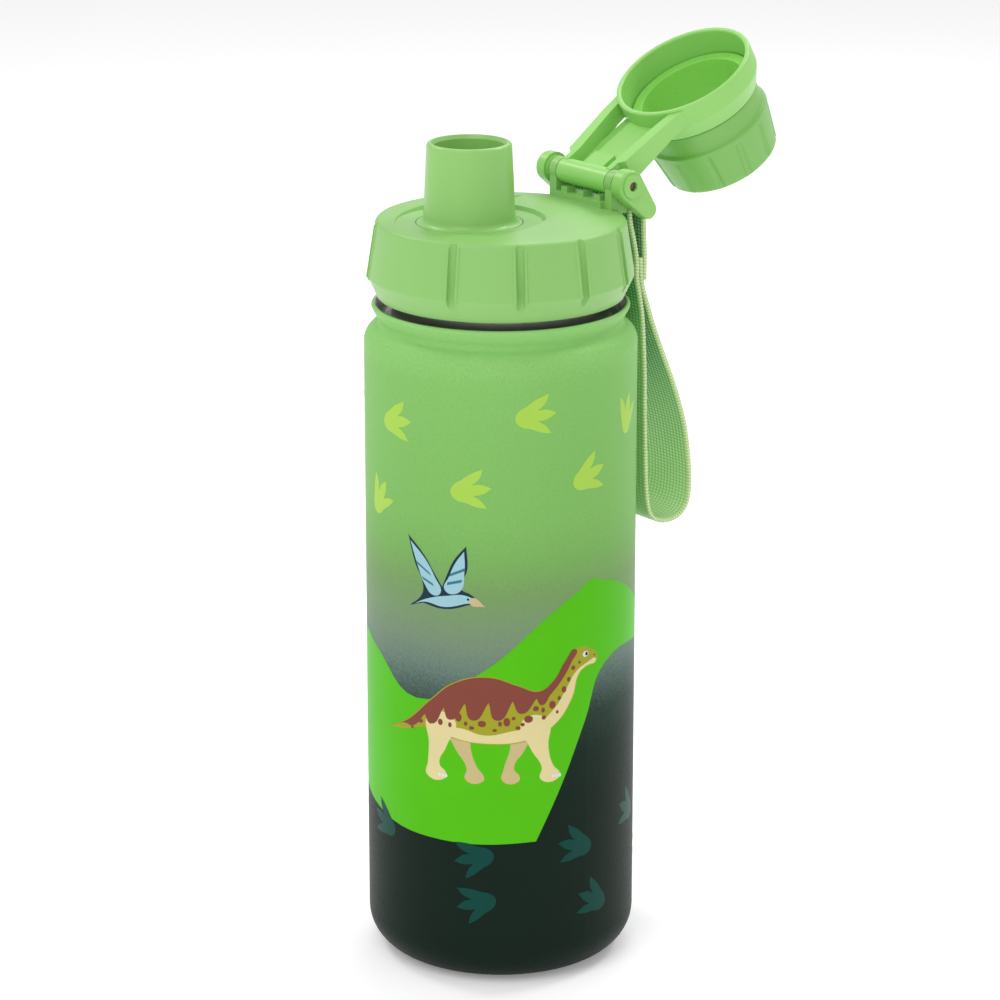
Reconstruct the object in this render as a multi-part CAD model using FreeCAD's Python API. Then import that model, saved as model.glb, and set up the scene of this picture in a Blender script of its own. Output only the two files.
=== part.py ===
import FreeCAD, Part
import math
import os
from FreeCAD import Vector, Placement, Rotation

# A kids' insulated water bottle with a screw lid, a drinking spout, a hinged cap and a webbing strap.
# Millimetres, +Z up. The origin is the centre of the foot ring, on the surface that the bottle stands on.
# +Y points to the hinge at the back and +X runs along the hinge pin.
# The cap is drawn closed and then opened about the pin, which is how the bottle stands at rest.

# ---- fits -------------------------------------------------------------------------------------
pin_fit = 0.05          # radial clearance of a hole that turns on the hinge pin
side_gap = 0.3          # gap between hinge knuckles, along the pin
turn_gap = 0.3          # gap between pieces that turn on each other in the cap
face_gap = 0.05         # gap between a seal and the face that it closes on
thread_gap = 0.3        # radial gap between a thread's crest and the wall that it faces

# ---- bottle body ------------------------------------------------------------------------------
body_radius = 36.5
body_height = 182.2     # top of the rolled lip ring
steel = 0.6             # wall of the stainless steel sheet
base_round = 10.9
foot_flange_inset = 14.1 # body's side in to the foot ring's inner wall
foot_flange_height = 3.0
shoulder_round = 5.0
shoulder_drop = 7.3      # lip top down to the shoulder's corner
edge_round = 0.9         # rounding of the foot and of the mouth
lip_outer_round = 0.7
lip_inner_round = 0.6
dish_round = 0.8
weld_drop = 2.0          # mouth down to the weld between the two walls
groove_inset = 4.4       # body's side in to the bottom of the groove under the lip
groove_drop = 5.3       # lip top down to the groove
groove_round = 1.3
lip_inset = 1.6
lip_width = 1.7
lip_dish_inset = 5.3
lip_dish_drop = 3.6     # lip top down to the bottom of the dish inside the lip
neck_inset = 7.6
neck_height = 17.2      # lip top up to the mouth
mouth_width = 2.0
vacuum_gap = 2.1
liner_floor = 9.0        # outside of the inner wall's bottom
liner_base_round = 9.0
liner_neck_drop = 4.6    # lip top down to the end of the inner wall's neck
liner_neck_round = 3.0
liner_shoulder_drop = 10.7
liner_shoulder_round = 6.0
base_cup_recess = 2.2
base_cup_lift = 0.6      # ground up to the base cup's rim
base_cup_round = 1.0
base_cup_inner_round = 0.5
seal_hole_radius = 1.0
seal_bead_radius = 2.5
seal_bead_thickness = 0.8
seal_bead_round = 0.5
getter_radius = 4.0
getter_thickness = 1.8
getter_offset = 10.0

# ---- neck thread ------------------------------------------------------------------------------
thread_pitch = 4.0
thread_depth = 1.1
thread_root = 1.6
thread_crest = 0.8
thread_sink = 0.15       # how far a thread's root goes into its wall
thread_slack = 0.1       # further room between the thread's crest and the core
neck_thread_turns = 1.75
neck_thread_start = 3.4  # lip top up to the first turn
lid_thread_turns = 1.75

# ---- screw lid --------------------------------------------------------------------------------
lid_bottom_gap = 1.8     # lip top up to the lid's lower edge
lid_edge_inset = 3.7     # body's side in to the lid's lower edge
lid_max_inset = 1.05     # body's side in to the lid's widest line
lid_top_inset = 3.4      # body's side in to the top of the lid's side
lid_chamfer = 5.8
lid_roof_rise = 1.6      # core's roof up to the top of the lid's side
lid_shoulder_round = 1.4
dome_inset = 16.1        # top of the lid's side in to the step of the dome
dome_step = 2.1
dome_centre = 2.8
core_wall = 1.2
core_slack = 0.2
core_roof = 2.0
core_rise = 0.6          # lid's lower edge up to the core's
lid_edge_round = 0.3
lid_max_round = 0.8
dome_round = 30.0
well_slope = 0.8         # how much the well widens each way from its middle
well_depth = 2.4
gasket_thickness = 1.55
gasket_overhang = 1.1    # gasket past the outside of the neck
gasket_width = 3.4
gasket_round = 0.4
grip_places = 12
grip_groove_radius = 1.15
grip_groove_sink = 0.65
grip_bead_radius = 0.55
grip_bead_sink = 0.25    # bead's middle below the side of the lid
grip_bead_top = 1.6      # top of the lid's side down to a bead's end
well_margin = 0.7        # cap ring's side out to the well's wall
well_rise = 0.4          # top of the lid's side up to the floor of the well round the spout
trough_rise = 1.4        # the same, up to the floor under the cap's arm
trough_inset = 4.7       # pin forward to the end of the trough

# ---- spout ------------------------------------------------------------------------------------
spout_back = 10.5        # spout axis in front of the bottle's axis
spout_base_radius = 12.2
spout_top_radius = 11.2
spout_bore_radius = 9.4
spout_rise = 21.7        # top of the lid's side up to the spout's rim
spout_fillet = 1.8
spout_hole_gap = 0.2
spout_bore_flare = 0.7   # how much the bore widens at the rim
spout_bore_mouth = 1.0   # how much the bore widens at the roof, and how far below the rim it flares
spout_lip_round = 0.9

# ---- hinge ------------------------------------------------------------------------------------
pin_inset = 2.8          # top of the lid's side in to the pin
pin_rise = 7.4           # top of the lid's side up to the pin
pin_radius = 1.25
pin_recess = 0.8
knuckle_radius = 3.35
ear_width = 2.8
ear_depth = 3.0          # pin forward to the front of an ear
pedestal_depth = 4.3     # pin forward to the front of the pedestal
pedestal_inset = 0.3     # top of the lid's side in to the back of the pedestal
pedestal_rise = 2.2      # top of the lid's side up to the top of the pedestal
post_width = 2.4
post_depth = 3.0
post_clearance = 0.4
post_inset = 3.0         # end of the barrel in to the middle of the outer posts

# ---- cap arm and ring -------------------------------------------------------------------------
cap_open_angle = 149.7
cap_drop = 5.0           # pin down to the ring's mouth, cap closed
ring_wall = 1.5
ring_ledge = 1.5         # width of the ledge that the knob's flange turns on
ring_band = 5.6
ring_end_wall = 0.9
ring_length = 10.6
ring_flange = 1.7
ring_round = 0.6
ring_band_round = 1.5
ring_inner_round = 0.3
rail_bottom = 0.8        # ring's mouth up to the rails
rail_height = 7.4
rail_ring_angle = 43.3   # where a rail meets the ring, from the line across the cap
rail_ring_sink = 0.54    # how far a rail's end goes into the ring
rail_width = 2.9
rail_bend = 1.8          # how far a rail steps out past the barrel's end
rail_root = 1.9          # how much of the barrel a rail covers
rail_swing_gap = 0.5
web_bottom = 5.3
web_thickness = 2.0
panel_width = 10.4       # raised panel along the middle of the web
panel_height = 0.8
catch_width = 8.0
catch_length = 4.2
catch_height = 2.2

# ---- cap knob ---------------------------------------------------------------------------------
liner_flange_thickness = 1.2
liner_bore_gap = 2.6     # spout's foot out to the liner's bore
liner_end_gap = 2.0      # spout's rim out to the liner's end
liner_flange_wall = 1.7  # liner's bore out to the ring's throat
liner_wall = 1.3
liner_end_thickness = 1.2
liner_neck = 2.4         # ring's end up to the shoulder where the grip is pressed on
liner_round = 0.3
cap_seal_thickness = 2.0
cap_seal_slack = 0.25
knob_neck_step = 0.4     # ring's throat out to the knob's neck
knob_neck_length = 6.5   # ring's end up to the grip's edge
knob_edge_step = 1.4     # ring's throat out to the grip's edge
knob_taper = 2.0         # grip's edge in to the grip's top
knob_space = 5.95        # empty space between the liner's end and the knob's top wall
knob_top_round = 1.4
knob_edge_round = 0.4
knob_wall = 1.9
knob_grips = 12
knob_groove_radius = 1.5
knob_groove_sink = 0.75
knob_groove_start = 2.2  # grip's edge up to a groove's end

# ---- strap yoke and webbing -------------------------------------------------------------------
bar_back = 6.5           # pin back to the strap's bar
bar_drop = 7.4           # pin down to the strap's bar
bar_radius = 1.6
cheek_width = 3.7
cheek_inset = 0.9        # boss stands in front of the cheek's inner face by this
cheek_pin_wall = 0.85    # cheek's round end past the knuckles
cheek_tip_radius = 2.5
cheek_round = 0.9
boss_height = 0.6
boss_radius = 3.2
webbing_width = 25.0
webbing_thickness = 1.6
webbing_gap = 0.05       # webbing round its bar
tab_round = 0.5
tab_overlap = 1.5        # how far the sewn layers run on past the stitching
strap_side_gap = 1.7     # webbing's edge to a cheek
tab_drop = 13.6          # bar down to the top of the sewn tab
tab_length = 7.0
tab_clearance = 0.9      # lid's widest line out to the tab
tab_fullness = 0.9       # how much thicker the sewn tab is than its two layers
stitch_pitch = 2.2
stitch_length = 1.5
stitch_radius = 0.25
stitch_inset = 0.9       # tab's ends in to the rows of stitches
stitch_margin = 2.0      # webbing's edge to the first stitch

# ---- worked out -------------------------------------------------------------------------------
lip_top = body_height
mouth_z = lip_top + neck_height
foot_flange_radius = body_radius - foot_flange_inset
groove_radius = body_radius - groove_inset
lip_radius = body_radius - lip_inset
lip_dish_radius = body_radius - lip_dish_inset
neck_radius = body_radius - neck_inset
mouth_radius = neck_radius - mouth_width
lid_edge_radius = body_radius - lid_edge_inset
lid_max_radius = body_radius - lid_max_inset
lid_top_radius = body_radius - lid_top_inset
dome_radius = lid_top_radius - dome_inset
core_inner = neck_radius + thread_depth + thread_gap + thread_slack
core_outer = core_inner + core_wall
lid_bore = core_outer + core_slack
gasket_radius = neck_radius + gasket_overhang
gasket_bottom = mouth_z + face_gap
core_roof_bottom = gasket_bottom + gasket_thickness
core_roof_top = core_roof_bottom + core_roof
lid_bottom = lip_top + lid_bottom_gap
lid_side_top = core_roof_top + lid_roof_rise
well_level = lid_side_top + well_rise
trough_level = lid_side_top + trough_rise
spout_y = -spout_back
spout_top = lid_side_top + spout_rise
pin_y = lid_top_radius - pin_inset
pin_z = lid_side_top + pin_rise
pedestal_top = lid_side_top + pedestal_rise
pedestal_back = lid_top_radius - pedestal_inset
cheek_inner = webbing_width / 2 + strap_side_gap
cheek_outer = cheek_inner + cheek_width
boss_inner = cheek_inner - cheek_inset
boss_outer = cheek_outer + boss_height
ear_outer = boss_inner - side_gap
ear_inner = ear_outer - ear_width
barrel_half = ear_inner - side_gap
cheek_pin_radius = knuckle_radius + cheek_pin_wall
cap_y = spout_y
cap_z = pin_z - cap_drop
liner_bore_radius = spout_base_radius + liner_bore_gap
liner_end_radius = spout_top_radius + liner_end_gap
ring_throat_radius = liner_bore_radius + liner_flange_wall
ring_bore_radius = ring_throat_radius + ring_ledge
ring_radius = ring_bore_radius + ring_wall
well_radius = ring_radius + well_margin
seal_height = spout_top + face_gap - cap_z
liner_end = seal_height + cap_seal_thickness
flange_bottom = ring_length - ring_flange
knob_edge_height = ring_length + knob_neck_length
knob_edge_radius = ring_throat_radius + knob_edge_step
knob_top_radius = knob_edge_radius - knob_taper
knob_height = liner_end + liner_end_thickness + knob_space + knob_wall
bar_y = pin_y + bar_back
bar_z = pin_z - bar_drop
webbing_bar_radius = bar_radius + webbing_gap
tab_y = lid_max_radius + tab_clearance
tab_face = tab_y + 2 * webbing_thickness + tab_fullness
tab_top = bar_z - tab_drop
tab_bottom = tab_top - tab_length
PIN = Vector(0, pin_y, pin_z)
X_AXIS = Vector(1, 0, 0)
Z_AXIS = Vector(0, 0, 1)
TINY = 1e-6


def corner_reach(corners, closed):
    """How far each corner's rounding runs along its sides, limited so that neighbours never meet."""
    count = len(corners)
    points = [Vector(a, 0, b) for a, b, _ in corners]
    reach = []
    for i, point in enumerate(points):
        open_end = not closed and i in (0, count - 1)
        if corners[i][2] <= 0 or open_end:
            reach.append(0.0)
            continue
        half = (points[i - 1] - point).getAngle(points[(i + 1) % count] - point) / 2
        reach.append(corners[i][2] / math.tan(half))
    share = [1.0] * count
    for i in range(count if closed else count - 1):
        j = (i + 1) % count
        room = 0.98 * (points[j] - points[i]).Length
        if reach[i] + reach[j] > room:
            fit = room / (reach[i] + reach[j])
            share[i] = min(share[i], fit)
            share[j] = min(share[j], fit)
    return [length * part for length, part in zip(reach, share)]


def outline(corners, closed=True):
    """Wire through (a, b, radius) corners in the XZ plane, each corner rounded to its radius."""
    points = [Vector(a, 0, b) for a, b, _ in corners]
    count = len(points)
    stretches = []
    for i, (point, back) in enumerate(zip(points, corner_reach(corners, closed))):
        if back == 0:
            stretches.append((point, None, point))
            continue
        before = (points[i - 1] - point).normalize()
        after = (points[(i + 1) % count] - point).normalize()
        half = before.getAngle(after) / 2
        radius = back * math.tan(half)
        middle = (before + after).normalize() * (radius / math.sin(half) - radius)
        stretches.append((point + before * back, point + middle, point + after * back))
    edges = []
    for i in range(count):
        start, middle, end = stretches[i]
        if middle is not None:
            edges.append(Part.Arc(start, middle, end).toShape())
        if closed or i < count - 1:
            following = stretches[(i + 1) % count][0]
            if (following - end).Length > TINY:
                edges.append(Part.LineSegment(end, following).toShape())
    return Part.Wire(edges)


def turned(corners, centre_y=0.0):
    """Solid of revolution of a closed (radius, z, corner radius) outline about a vertical axis."""
    face = Part.Face(outline(corners))
    solid = face.revolve(Vector(0, 0, 0), Z_AXIS, 360)
    solid.translate(Vector(0, centre_y, 0))
    return solid


def sheet(corners, thickness):
    """Revolved sheet metal: an open outline of its air side, thickened to the other side."""
    wire = outline(corners, closed=False)
    face = wire.makeOffset2D(thickness, 2, True, True)
    return face.revolve(Vector(0, 0, 0), Z_AXIS, 360)


def box(x0, x1, y0, y1, z0, z1):
    return Part.makeBox(x1 - x0, y1 - y0, z1 - z0, Vector(x0, y0, z0))


def rod(radius, x0, x1, y=pin_y, z=pin_z):
    """Cylinder along X."""
    return Part.makeCylinder(radius, x1 - x0, Vector(x0, y, z), X_AXIS)


def mirrored(shape):
    return shape.mirror(Vector(0, 0, 0), X_AXIS)


def both_sides(shape):
    return [shape, mirrored(shape)]


def plate(points, z0, z1):
    """Upright prism over a polygon of (x, y) points."""
    wire = Part.makePolygon([Vector(x, y, z0) for x, y in points + points[:1]])
    return Part.Face(wire).extrude(Vector(0, 0, z1 - z0))


def opened(shape):
    """A cap piece, drawn closed, turned to its open rest place about the hinge pin."""
    shape = shape.copy()
    shape.rotate(PIN, X_AXIS, -cap_open_angle)
    return shape


def thread_ridge(radius, depth, start_z, turns, inward):
    """Helical ridge with a trapezoid section, standing on a wall of the given radius."""
    root = radius + thread_sink if inward else radius - thread_sink
    crest = radius - depth if inward else radius + depth
    helix = Part.makeHelix(thread_pitch, thread_pitch * turns, radius)
    half_root = thread_root / 2
    half_crest = thread_crest / 2
    section = [(root, -half_root), (crest, -half_crest), (crest, half_crest), (root, half_root)]
    profile = Part.makePolygon([Vector(r, 0, z) for r, z in section + section[:1]])
    sweep = Part.BRepOffsetAPI.MakePipeShell(Part.Wire(helix))
    sweep.setFrenetMode(True)
    sweep.add(profile)
    sweep.build()
    sweep.makeSolid()
    ridge = sweep.shape()
    ridge.translate(Vector(0, 0, start_z))
    return ridge


# ---- bottle -----------------------------------------------------------------------------------

def outer_shell():
    """Powder coated outer wall with its rolled lip ring, bare neck and rolled neck thread."""
    corners = [
        (foot_flange_radius, foot_flange_height, 0),
        (foot_flange_radius, 0, edge_round),
        (body_radius, 0, base_round),
        (body_radius, lip_top - shoulder_drop, shoulder_round),
        (groove_radius, lip_top - groove_drop, groove_round),
        (lip_radius, lip_top, lip_outer_round),
        (lip_radius - lip_width, lip_top, lip_inner_round),
        (lip_dish_radius, lip_top - lip_dish_drop, dish_round),
        (neck_radius, lip_top - lip_dish_drop, dish_round),
        (neck_radius, mouth_z, edge_round),
        (mouth_radius, mouth_z, edge_round),
        (mouth_radius, mouth_z - weld_drop, 0),
    ]
    shell = sheet(corners, steel)
    thread = thread_ridge(neck_radius, thread_depth, lip_top + neck_thread_start, neck_thread_turns, False)
    return shell.fuse(thread)


def inner_liner():
    """Bare steel inner wall, welded to the outer wall inside the mouth."""
    radius = body_radius - 2 * steel - vacuum_gap
    corners = [
        (mouth_radius, mouth_z - weld_drop, 0),
        (mouth_radius, lip_top - liner_neck_drop, liner_neck_round),
        (radius, lip_top - liner_shoulder_drop, liner_shoulder_round),
        (radius, liner_floor, liner_base_round),
        (0, liner_floor, 0),
    ]
    return sheet(corners, steel)


def base_cup():
    """Pressed disc welded inside the foot flange, with the hole that the air is drawn out through."""
    radius = foot_flange_radius
    corners = [
        (seal_hole_radius, base_cup_recess, 0),
        (radius - steel, base_cup_recess, base_cup_inner_round),
        (radius - steel, base_cup_lift, 0),
        (radius, base_cup_lift, 0),
        (radius, base_cup_recess + steel, base_cup_round),
        (seal_hole_radius, base_cup_recess + steel, 0),
    ]
    return turned(corners)


def vacuum_seal():
    """Glass bead that closes the hole in the base cup."""
    bottom = base_cup_recess - seal_bead_thickness
    corners = [
        (0, bottom, 0),
        (seal_bead_radius, bottom, seal_bead_round),
        (seal_bead_radius, base_cup_recess, 0),
        (seal_hole_radius, base_cup_recess, 0),
        (seal_hole_radius, base_cup_recess + steel, 0),
        (0, base_cup_recess + steel, 0),
    ]
    return turned(corners)


def getter_pellet():
    """Pellet in the vacuum space that takes up stray gas."""
    floor = base_cup_recess + steel
    return Part.makeCylinder(getter_radius, getter_thickness, Vector(getter_offset, 0, floor))


# ---- lid --------------------------------------------------------------------------------------

def grip_groove(angle):
    """Upright groove in the lid's side, with a bead along each edge of it."""
    low = Vector(lid_max_radius - 0.6, 0, lid_bottom + lid_chamfer - 2.6)
    high = Vector(lid_top_radius, 0, lid_side_top - 0.6)
    along = high - low
    outward = Vector(along.z, 0, -along.x).normalize()
    offset = outward * (grip_groove_radius - grip_groove_sink)
    groove = Part.makeCylinder(grip_groove_radius, along.Length, low + offset, along)
    groove = groove.fuse(Part.makeSphere(grip_groove_radius, low + offset))
    groove = groove.fuse(Part.makeSphere(grip_groove_radius, high + offset))
    groove.rotate(Vector(0, 0, 0), Z_AXIS, angle)
    return groove


def grip_beads(angle):
    foot = lid_bottom + lid_chamfer
    slope = (lid_max_radius - lid_top_radius) / (lid_side_top - foot)
    low = Vector(lid_max_radius - grip_bead_sink, 0, foot)
    high = Vector(lid_top_radius + slope * grip_bead_top - grip_bead_sink, 0, lid_side_top - grip_bead_top)
    beads = []
    for side in (-1, 1):
        shift = Vector(0, side * (grip_groove_radius + grip_bead_radius / 2), 0)
        bead = Part.makeCylinder(grip_bead_radius, (high - low).Length, low + shift, high - low)
        bead = bead.fuse(Part.makeSphere(grip_bead_radius, low + shift))
        bead = bead.fuse(Part.makeSphere(grip_bead_radius, high + shift))
        bead.rotate(Vector(0, 0, 0), Z_AXIS, angle)
        beads.append(bead)
    return beads


def hinge_ears():
    """Pedestal at the back of the lid with two ears that carry the pin and small posts between them."""
    root = core_roof_top + lid_roof_rise / 2
    base = box(-barrel_half, barrel_half, pin_y - pedestal_depth, pedestal_back, root, pedestal_top)
    parts = []
    for x0, x1 in ((ear_inner - side_gap, ear_outer), (-ear_outer, side_gap - ear_inner)):
        parts.append(box(x0, x1, pin_y - ear_depth, pedestal_back, root, pedestal_top))
    for x0, x1 in ((ear_inner, ear_outer), (-ear_outer, -ear_inner)):
        parts.append(rod(knuckle_radius, x0, x1))
        parts.append(box(x0, x1, pin_y - ear_depth, pedestal_back, root, pin_z))
    post_top = pin_z - knuckle_radius - post_clearance
    for x in (post_inset - barrel_half, 0, barrel_half - post_inset):
        parts.append(box(x - post_width / 2, x + post_width / 2, pin_y - post_depth, pin_y,
                         pedestal_top - 1.0, post_top))
    return base.fuse(parts)


def lid_shell():
    """Outer cover of the screw lid: grip collar, domed top, well for the cap, and the hinge ears."""
    corners = [
        (lid_bore, lid_bottom, 0),
        (lid_edge_radius, lid_bottom, lid_edge_round),
        (lid_max_radius, lid_bottom + lid_chamfer, lid_max_round),
        (lid_top_radius, lid_side_top, lid_shoulder_round),
        (dome_radius, lid_side_top + dome_step, dome_round),
        (0, lid_side_top + dome_centre, 0),
        (0, core_roof_top, 0),
        (lid_bore, core_roof_top, 0),
    ]
    shell = turned(corners)
    # the front, below the spout, and the back, behind the strap, have no groove
    places = [place for place in range(1, grip_places) if place != grip_places // 2]
    angles = [-90 + 360 / grip_places * place for place in places]
    beads = []
    for angle in angles:
        beads += grip_beads(angle)
    shell = shell.fuse(beads)
    shell = shell.cut([grip_groove(angle) for angle in angles])
    well_foot = Vector(0, spout_y, well_level)
    well = Part.makeCone(well_radius - well_slope, well_radius + well_slope, well_depth, well_foot)
    trough = box(-ear_outer - side_gap, ear_outer + side_gap, 0, pin_y - trough_inset, trough_level, pin_z)
    shell = shell.cut([well, trough])
    shell = shell.fuse(hinge_ears())
    hole = spout_base_radius + spout_fillet + spout_hole_gap
    cuts = [
        Part.makeCylinder(hole, 10, Vector(0, spout_y, core_roof_top - 1)),
        rod(pin_radius, -ear_outer - 1, ear_outer + 1),
    ]
    return shell.cut(cuts)


def lid_core():
    """Inner cup of the lid, with the female thread, and the spout that rises through the dome."""
    corners = [
        (core_inner, lid_bottom + core_rise, 0),
        (core_outer, lid_bottom + core_rise, lid_edge_round),
        (core_outer, core_roof_top, lid_edge_round),
        (0, core_roof_top, 0),
        (0, core_roof_bottom, 0),
        (core_inner, core_roof_bottom, 0),
    ]
    core = turned(corners)
    turns = lid_thread_turns
    start = lip_top + neck_thread_start + thread_pitch / 2
    core = core.fuse(thread_ridge(core_inner, thread_depth + thread_slack, start, turns, True))
    boss = spout_base_radius + spout_fillet
    tube = [
        (0, core_roof_bottom, 0),
        (boss, core_roof_bottom, 0),
        (boss, well_level, 0),
        (spout_base_radius, well_level, spout_fillet * 0.9),
        (spout_top_radius, spout_top, spout_lip_round),
        (0, spout_top, 0),
    ]
    core = core.fuse(turned(tube, spout_y))
    bore = [
        (0, core_roof_bottom - 1, 0),
        (spout_bore_radius + spout_bore_mouth, core_roof_bottom - 1, 0),
        (spout_bore_radius, core_roof_top, 0),
        (spout_bore_radius, spout_top - spout_bore_mouth, 0),
        (spout_bore_radius + spout_bore_flare, spout_top + 0.1, 0),
        (0, spout_top + 0.1, 0),
    ]
    return core.cut(turned(bore, spout_y))


def lid_gasket():
    """Silicone ring between the bottle's mouth and the lid."""
    inner = gasket_radius - gasket_width
    corners = [
        (inner, gasket_bottom, gasket_round),
        (gasket_radius, gasket_bottom, gasket_round),
        (gasket_radius, core_roof_bottom - face_gap, gasket_round),
        (inner, core_roof_bottom - face_gap, gasket_round),
    ]
    return turned(corners)


def hinge_pin():
    half = boss_outer - pin_recess
    return rod(pin_radius, -half, half)


# ---- cap --------------------------------------------------------------------------------------

def cap_profile(corners):
    """Revolved cap piece; heights are measured from the ring's mouth with the cap closed."""
    return turned([(r, cap_z + z, c) for r, z, c in corners], cap_y)


def side_ramp(points):
    """Prism over a (y, z) polygon, from the middle out past the rails."""
    wire = Part.makePolygon([Vector(0, y, z) for y, z in points + points[:1]])
    return Part.Face(wire).extrude(Vector(ring_radius + rail_width, 0, 0))


def arm_rail():
    """One side rail of the arm, from the barrel round the lid's ear and out to the ring."""
    clear = pin_y - knuckle_radius - rail_swing_gap
    root_inner = barrel_half - rail_root
    join = ring_radius - rail_ring_sink
    ring_x = join * math.cos(math.radians(rail_ring_angle))
    ring_y = cap_y + join * math.sin(math.radians(rail_ring_angle))
    points = [
        (root_inner, pin_y - 1.0),
        (barrel_half, pin_y - 1.0),
        (barrel_half, clear),
        (barrel_half + rail_bend, clear - 1.2),
        (ring_x, ring_y),
        (ring_x - rail_width, ring_y),
        (root_inner, clear - 2.0),
    ]
    bottom = cap_z + rail_bottom
    top = bottom + rail_height
    rail = plate(points, bottom, top)
    barrel_bottom = pin_z - knuckle_radius
    ring_back = cap_y + ring_radius + 0.5
    front = [(pin_y + 1, bottom - 1), (pin_y + 1, barrel_bottom), (clear - 2, barrel_bottom),
             (ring_back, bottom), (ring_back, bottom - 1)]
    back = [(ring_y - 1, cap_z + ring_band), (ring_back, cap_z + ring_band), (clear - 2, top),
            (clear - 2, top + 1), (ring_y - 1, top + 1)]
    return rail.cut([side_ramp(front), side_ramp(back)])


def cap_arm():
    """Hinged arm: barrel, two rails with a web between them, and the ring that holds the knob."""
    ring = cap_profile([
        (ring_throat_radius, ring_length, ring_inner_round),
        (ring_throat_radius, flange_bottom, 0),
        (ring_bore_radius, flange_bottom, ring_inner_round),
        (ring_bore_radius, 0, ring_round),
        (ring_radius, 0, ring_round),
        (ring_radius, ring_band, ring_band_round),
        (ring_throat_radius + ring_end_wall, ring_length, ring_inner_round),
    ])
    barrel = rod(knuckle_radius, -barrel_half, barrel_half)
    web_z = cap_z + web_bottom
    web_half = barrel_half - rail_root + 1.0
    web_front = cap_y + ring_throat_radius + 0.5
    web = box(-web_half, web_half, web_front, pin_y, web_z, web_z + web_thickness)
    panel = box(-panel_width / 2, panel_width / 2, web_front, pin_y, web_z - panel_height, web_z + 0.5)
    catch = box(-catch_width / 2, catch_width / 2, pin_y - knuckle_radius - catch_length, pin_y,
                web_z - catch_height, web_z + 0.5)
    rails = both_sides(arm_rail())
    hollow = Part.makeCylinder(ring_bore_radius, ring_length, Vector(0, cap_y, cap_z - 1))
    frame = barrel.fuse(rails + [web, panel, catch]).cut(hollow)
    throat = Part.makeCylinder(ring_throat_radius, 3 * ring_length, Vector(0, cap_y, cap_z - 1))
    arm = ring.fuse(frame.cut(throat))
    arm = arm.cut(rod(pin_radius + pin_fit, -barrel_half - 1, barrel_half + 1))
    return opened(arm)


def knob_liner():
    """Inner cup of the knob. Its flange turns on the ring's inner ledge and keeps the knob in."""
    sleeve = ring_throat_radius - turn_gap
    flange_top = flange_bottom - turn_gap
    flange_low = flange_top - liner_flange_thickness
    liner = cap_profile([
        (liner_bore_radius, flange_low, liner_round),
        (ring_bore_radius - turn_gap, flange_low, liner_round),
        (ring_bore_radius - turn_gap, flange_top, liner_round / 2),
        (sleeve, flange_top, 0),
        (sleeve, ring_length + liner_neck, 0),
        (liner_end_radius + liner_wall, liner_end + liner_end_thickness, 2 * liner_round),
        (0, liner_end + liner_end_thickness, 0),
        (0, liner_end, 0),
        (liner_end_radius, liner_end, 0),
        (liner_end_radius, seal_height, 0),
    ])
    return opened(liner)


def cap_seal():
    """Silicone disc in the end of the knob that closes the spout."""
    radius = liner_end_radius - cap_seal_slack
    seal = cap_profile([
        (0, seal_height, 0),
        (radius, seal_height, liner_round),
        (radius, liner_end, 0),
        (0, liner_end, 0),
    ])
    return opened(seal)


def knob_groove(angle):
    low = Vector(knob_edge_radius, 0, cap_z + knob_edge_height + knob_groove_start)
    high = Vector(knob_top_radius, 0, cap_z + knob_height + 1.0)
    offset = Vector(knob_groove_radius - knob_groove_sink, 0, 0)
    groove = Part.makeCylinder(knob_groove_radius, (high - low).Length, low + offset, high - low)
    groove = groove.fuse(Part.makeSphere(knob_groove_radius, low + offset))
    groove.rotate(Vector(0, 0, 0), Z_AXIS, angle)
    groove.translate(Vector(0, cap_y, 0))
    return groove


def cap_knob():
    """Round grip that the hand turns, a hollow cup pressed over the knob's inner cup."""
    bottom = ring_length + turn_gap
    sleeve = ring_throat_radius - turn_gap
    knob = cap_profile([
        (sleeve, bottom, 0),
        (ring_throat_radius + knob_neck_step, bottom, knob_edge_round),
        (ring_throat_radius + knob_neck_step, knob_edge_height - knob_edge_round, knob_edge_round),
        (knob_edge_radius, knob_edge_height, knob_edge_round),
        (knob_top_radius, knob_height, knob_top_round),
        (0, knob_height, 0),
        (0, knob_height - knob_wall, 0),
        (knob_top_radius - knob_wall, knob_height - knob_wall, 1.0),
        (sleeve - 0.2, knob_edge_height, 0),
        (sleeve, ring_length + liner_neck, 0),
    ])
    grooves = [knob_groove(360 / knob_grips * (place + 0.5)) for place in range(knob_grips)]
    return opened(knob.cut(grooves))


# ---- strap ------------------------------------------------------------------------------------

def teardrop():
    """Side outline of a yoke cheek, round at the pin and round at the strap bar."""
    across = Vector(0, bar_y - pin_y, bar_z - pin_z)
    distance = across.Length
    tilt = math.asin((cheek_pin_radius - cheek_tip_radius) / distance)
    along = across / distance
    side = Vector(0, -along.z, along.y)
    corners = []
    for sign in (1, -1):
        normal = side * (sign * math.cos(tilt)) + along * math.sin(tilt)
        corners.append((PIN + normal * cheek_pin_radius,
                        Vector(0, bar_y, bar_z) + normal * cheek_tip_radius))
    (a, b), (d, c) = corners
    wire = Part.makePolygon([a, b, c, d, a])
    return wire


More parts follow.
